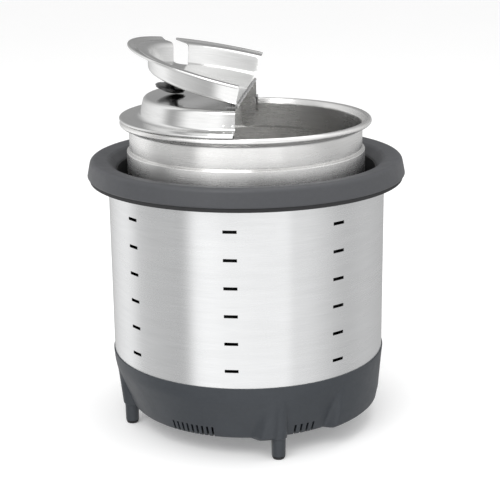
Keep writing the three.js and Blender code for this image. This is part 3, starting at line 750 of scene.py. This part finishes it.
def weld_marks():
    """Shallow round weld marks where the strips are fixed inside the wall."""
    marks = []
    for side in (-1, 1):
        for offset in WELD_OFFSETS:
            mark = turned("mark", [(0, 0), (1.7, 0), (1.6, 0.22), (1.2, 0.42), (0.6, 0.52), (0, 0.55)], 24)
            x = HINGE_X + offset
            y = side * math.sqrt(WELD_RADIUS ** 2 - x ** 2)
            out = Vector((x, y, 0)).normalized() + Vector((0, 0, WELD_LEAN))
            turn = out.to_track_quat("Z", "Y").to_matrix().to_4x4()
            mark.data.transform(Matrix.Translation(Vector((x, y, WELD_HEIGHT)) * MM) @ turn)
            marks.append(mark)
    finish_piece(join("weld_marks", marks), "cover", COVER, (), TURN)


def leaf(name, node, side, body, place):
    """Hinge leaf: a strip, its knuckles and their links, drawn flat on the platform."""
    pitch = 2 * HINGE_HALF_LENGTH / KNUCKLES
    bottom = PLATFORM_TOP + LEAF_LIFT
    near, far = HINGE_X + side * (KNUCKLE_RADIUS + 0.6), HINGE_X + side * LEAF_WIDTH
    parts = [box_of("strip", (min(near, far), -HINGE_HALF_LENGTH, bottom),
                    (max(near, far), HINGE_HALF_LENGTH, bottom + LEAF_SHEET))]
    lie = Matrix.Translation(HINGE_POINT) @ Matrix.Rotation(math.radians(-90), 4, "X")
    for k in range(0 if side < 0 else 1, KNUCKLES, 2):
        low = -HINGE_HALF_LENGTH + k * pitch + KNUCKLE_GAP / 2
        high = low + pitch - KNUCKLE_GAP
        tube = turned("tube", rounded([(KNUCKLE_BORE, low, 0), (KNUCKLE_RADIUS, low, 0.25),
                                       (KNUCKLE_RADIUS, high, 0.25), (KNUCKLE_BORE, high, 0)], 3), 28)
        tube.data.transform(lie)
        # A link joins the knuckle to the strip, and stays outside the pin's bore.
        inner = HINGE_X + side * (KNUCKLE_BORE + 0.3)
        link = box_of("link", (min(inner, near + side * 0.4), low, bottom),
                      (max(inner, near + side * 0.4), high, bottom + LEAF_SHEET))
        parts += [tube, link]
    for k in range(RIVETS):
        y = (HINGE_HALF_LENGTH - RIVET_MARGIN) * (2 * k / (RIVETS - 1) - 1)
        rivet = turned("rivet", [(0, 0), (1.6, 0), (1.45, 0.25), (0.9, 0.45), (0, 0.52)], 20,
                       (HINGE_X + side * RIVET_REACH, y))
        rivet.data.transform(Matrix.Translation((0, 0, (bottom + LEAF_SHEET) * MM)))
        parts.append(rivet)
    finish_piece(join(name, parts), body, HINGE, [node], place)


# ---- Knob ----
def knob():
    """Flared knob on a steel washer; heights are above the platform."""
    centre = (HINGE_X + KNOB_REACH, 0)

    def raised(profile):
        return [(r, z + PLATFORM_TOP) for r, z in profile]

    base_ring = rounded([(2.6, 0.4, 0), (9, 0.4, 0.2), (9, 1.4, 0.3), (7.6, 2.4, 0.3), (2.6, 2.4, 0)], 4)
    ring = turned("knob_washer", raised(base_ring), 64, centre)
    finish_piece(ring, "flap", HINGE, ["knob_base"], FOLD)
    stem = rounded([(6.4, 2.8, 0.3), (5.6, 5.2, 1.5), (5.6, 10.2, 2.5), (8.4, 13.6, 3), (15.4, 15.6, 1.2),
                    (17.5, 17.4, 0.7), (16.6, 19.0, 0.8)], 5)
    dome = arc(0, 23.4 - 36, 36, 63, 90, 10)
    profile = [(0, 16.6), (2.6, 16.6), (2.6, 2.8)] + stem + dome
    profile[-1] = (0, profile[-1][1])
    piece = turned("knob_cap", raised(profile), 96, centre)
    finish_piece(piece, "flap", KNOB, ["knob"], FOLD, 50)


# ---- CAD pieces that keep their own shape ----
CARRIED = [
    (INNER_BLACK, ["coil_carrier", "sensor_guide", "fan_frame", "fan_rotor", "gland_nut"]),
    (COPPER, ["induction_coil", "choke"]),
    (BARE, ["heat_sink", "carrier_post_1", "carrier_post_2", "carrier_post_3", "hinge_pin", "knob_screw"]),
    (BRASS, ["sensor_plunger", *(f"board_standoff_{k}" for k in range(1, 5))]),
    (BOARD, ["control_board"]),
    (SLEEVE, ["capacitor_1", "capacitor_2"]),
]


def dress_carried():
    """Paints the CAD pieces, and shades their round faces smooth without changing their meshes' points."""
    for material, names in CARRIED:
        for name in names:
            mesh = frame["nodes"][name].data
            stored = mesh.attributes.get("custom_normal")
            if stored is not None:
                mesh.attributes.remove(stored)
            mesh.polygons.foreach_set("use_smooth", [True] * len(mesh.polygons))
            mesh.materials.clear()
            mesh.materials.append(material)
            modifiers = frame["nodes"][name].modifiers
            modifiers.new("weld", "WELD").merge_threshold = 1e-5
            modifiers.new("split", "EDGE_SPLIT").split_angle = math.radians(35)


# ---- Studio ----
FLOOR_RADIUS, FLOOR_GLOW = 14000, 0.2
# Brightness by bearing: 0 is straight behind, 0.25 the left side, 0.5 the camera's side, 0.75 the
# right side. A wide bright panel stands in front, a grey flag at each side of it and paler walls beyond.
WALLS = [(0.0, 0.35), (0.17, 0.8), (0.23, 0.55), (0.345, 0.4), (0.385, 0.95), (0.59, 0.95),
         (0.61, 0.75), (0.75, 0.45), (0.82, 0.5), (1.0, 0.35)]
UPPER_WALLS = [(0.0, 0.25), (0.2, 0.75), (0.255, 0.35), (0.33, 0.9), (0.41, 0.9), (0.46, 0.55),
               (0.7, 0.85), (1.0, 0.25)]
# The lower walls give way to the upper ones between these two rises of the ray.
HORIZON_BLEND = (-0.12, 0.08)
# Brightness by elevation: 0 is straight down, 0.5 the horizon, 1 straight up.
HEIGHTS = [(0.0, 0.85), (0.3, 1.0), (0.5, 1.0), (0.62, 0.95), (0.8, 1.0), (1.0, 1.0)]
REFLECTED, BACKDROP = 1.42, 1.0
# The camera, fitted to the photograph's slots and rims: place in metres, angles in radians.
CAMERA_PLACE, CAMERA_LENS, SENSOR_WIDTH = (0, -1.4450, 0.6070), 92.33, 36
CAMERA_PITCH, CAMERA_YAW, CAMERA_ROLL = 0.2740, math.radians(0.132), -0.0112


def floor():
    """A wide pale disc that lifts its own shadows a little and is left out of reflections."""
    turns = [2 * math.pi * k / 96 for k in range(96)]
    rim = [(FLOOR_RADIUS * math.cos(a), FLOOR_RADIUS * math.sin(a), 0) for a in turns]
    piece = object_from("studio_floor", rim, [tuple(range(len(rim)))])
    s = Shader("floor_pale", roughness=0.9)
    tint = s.noise(s.place(False), 3.0)
    s.colour(s.blend(tint, rgb(0.86, 0.86, 0.86), rgb(0.88, 0.88, 0.88)))
    s.surface.inputs["Emission Color"].default_value = rgb(1, 1, 1)
    s.surface.inputs["Emission Strength"].default_value = FLOOR_GLOW
    piece.data.materials.append(s.material)
    piece.visible_glossy = False


def world():
    """Bright studio walls with a few grey flags between them; the eye sees a plain pale backdrop."""
    studio = bpy.data.worlds.new("studio")
    bpy.context.scene.world = studio
    studio.use_nodes = True
    tree = studio.node_tree
    tree.nodes.clear()

    def add(kind, **settings):
        node = tree.nodes.new(kind)
        for key, value in settings.items():
            setattr(node, key, value)
        return node

    def calc(operation, first, second):
        node = add("ShaderNodeMath", operation=operation)
        for value, target in zip((first, second), node.inputs):
            if isinstance(value, bpy.types.NodeSocket):
                tree.links.new(value, target)
            else:
                target.default_value = value
        return node.outputs[0]

    parts = add("ShaderNodeSeparateXYZ")
    tree.links.new(add("ShaderNodeTexCoord").outputs["Generated"], parts.inputs[0])
    x, y, z = parts.outputs
    bearing = calc("ARCTAN2", x, calc("MULTIPLY", y, -1.0))
    share = calc("ADD", calc("DIVIDE", bearing, 2 * math.pi), 0.5)
    levels = []
    for stops in (WALLS, UPPER_WALLS):
        walls = add("ShaderNodeValToRGB")
        walls.color_ramp.interpolation = "EASE"
        fill_ramp(walls.color_ramp, stops)
        tree.links.new(share, walls.inputs[0])
        levels.append(walls.outputs[0])
    rise = add("ShaderNodeMapRange")
    tree.links.new(z, rise.inputs["Value"])
    rise.inputs["From Min"].default_value, rise.inputs["From Max"].default_value = HORIZON_BLEND
    low = calc("MULTIPLY", levels[0], calc("SUBTRACT", 1.0, rise.outputs["Result"]))
    both = calc("ADD", low, calc("MULTIPLY", levels[1], rise.outputs["Result"]))
    height = add("ShaderNodeValToRGB")
    height.color_ramp.interpolation = "EASE"
    fill_ramp(height.color_ramp, HEIGHTS)
    tree.links.new(calc("ADD", calc("MULTIPLY", z, 0.5), 0.5), height.inputs[0])
    seen = calc("MULTIPLY", both, calc("MULTIPLY", height.outputs[0], REFLECTED))
    rays = add("ShaderNodeLightPath")
    direct = rays.outputs["Is Camera Ray"]
    shown = calc("ADD", calc("MULTIPLY", seen, calc("SUBTRACT", 1.0, direct)),
                 calc("MULTIPLY", direct, BACKDROP))
    backdrop = add("ShaderNodeBackground")
    backdrop.inputs[0].default_value = rgb(1, 1, 1)
    tree.links.new(shown, backdrop.inputs[1])
    tree.links.new(backdrop.outputs[0], add("ShaderNodeOutputWorld").inputs[0])


def fill_ramp(ramp, stops):
    """Gives a colour ramp these (position, grey) stops and no others."""
    while len(ramp.elements) > 1:
        ramp.elements.remove(ramp.elements[-1])
    for k, (position, value) in enumerate(stops):
        element = ramp.elements[0] if k == 0 else ramp.elements.new(position)
        element.position = position
        element.color = rgb(value, value, value)


def softbox(name, place, target, size, watts):
    """A rectangular area light at a place in metres, aimed at the target."""
    data = bpy.data.lights.new(name, "AREA")
    data.shape = "RECTANGLE"
    data.size, data.size_y = size
    data.energy = watts
    lamp = bpy.data.objects.new(name, data)
    bpy.context.scene.collection.objects.link(lamp)
    lamp.location = place
    lamp.rotation_mode = "QUATERNION"
    lamp.rotation_quaternion = (Vector(target) - Vector(place)).to_track_quat("-Z", "Y")
    lamp.visible_camera = False


def camera():
    """Looks along the yaw and down by the pitch, then rolls about the line of sight."""
    flat = Vector((math.sin(CAMERA_YAW), math.cos(CAMERA_YAW), 0))
    ahead = flat * math.cos(CAMERA_PITCH) - Vector((0, 0, math.sin(CAMERA_PITCH)))
    level = Vector((flat.y, -flat.x, 0))
    above = level.cross(ahead)
    right = math.cos(CAMERA_ROLL) * level + math.sin(CAMERA_ROLL) * above
    up = -math.sin(CAMERA_ROLL) * level + math.cos(CAMERA_ROLL) * above
    data = bpy.data.cameras.new("camera")
    data.sensor_width, data.lens = SENSOR_WIDTH, CAMERA_LENS
    eye = bpy.data.objects.new("camera", data)
    bpy.context.scene.collection.objects.link(eye)
    rows = Matrix((right, up, -ahead)).transposed().to_4x4()
    eye.matrix_world = Matrix.Translation(CAMERA_PLACE) @ rows
    bpy.context.scene.camera = eye


camera()
jacket()
collar()
well()
base()
legs()
gland()
inset()
fixed_half()
flap()
tab("locating_strip_front", "tab_front", -1)
tab("locating_strip_back", "tab_back", 1)
weld_marks()
leaf("hinge_fixed", "hinge_leaf_fixed", -1, "cover", TURN)
leaf("hinge_flap", "hinge_leaf_flap", 1, "flap", FOLD)
knob()
dress_carried()
floor()
world()
softbox("key", (-0.6, -1.6, 2.0), (0, 0, 0.25), (1.6, 1.2), 20)
softbox("top", (0.2, 0.3, 2.3), (0, 0, 0.3), (1.8, 1.8), 16)
bpy.context.scene.view_settings.view_transform = "Standard"
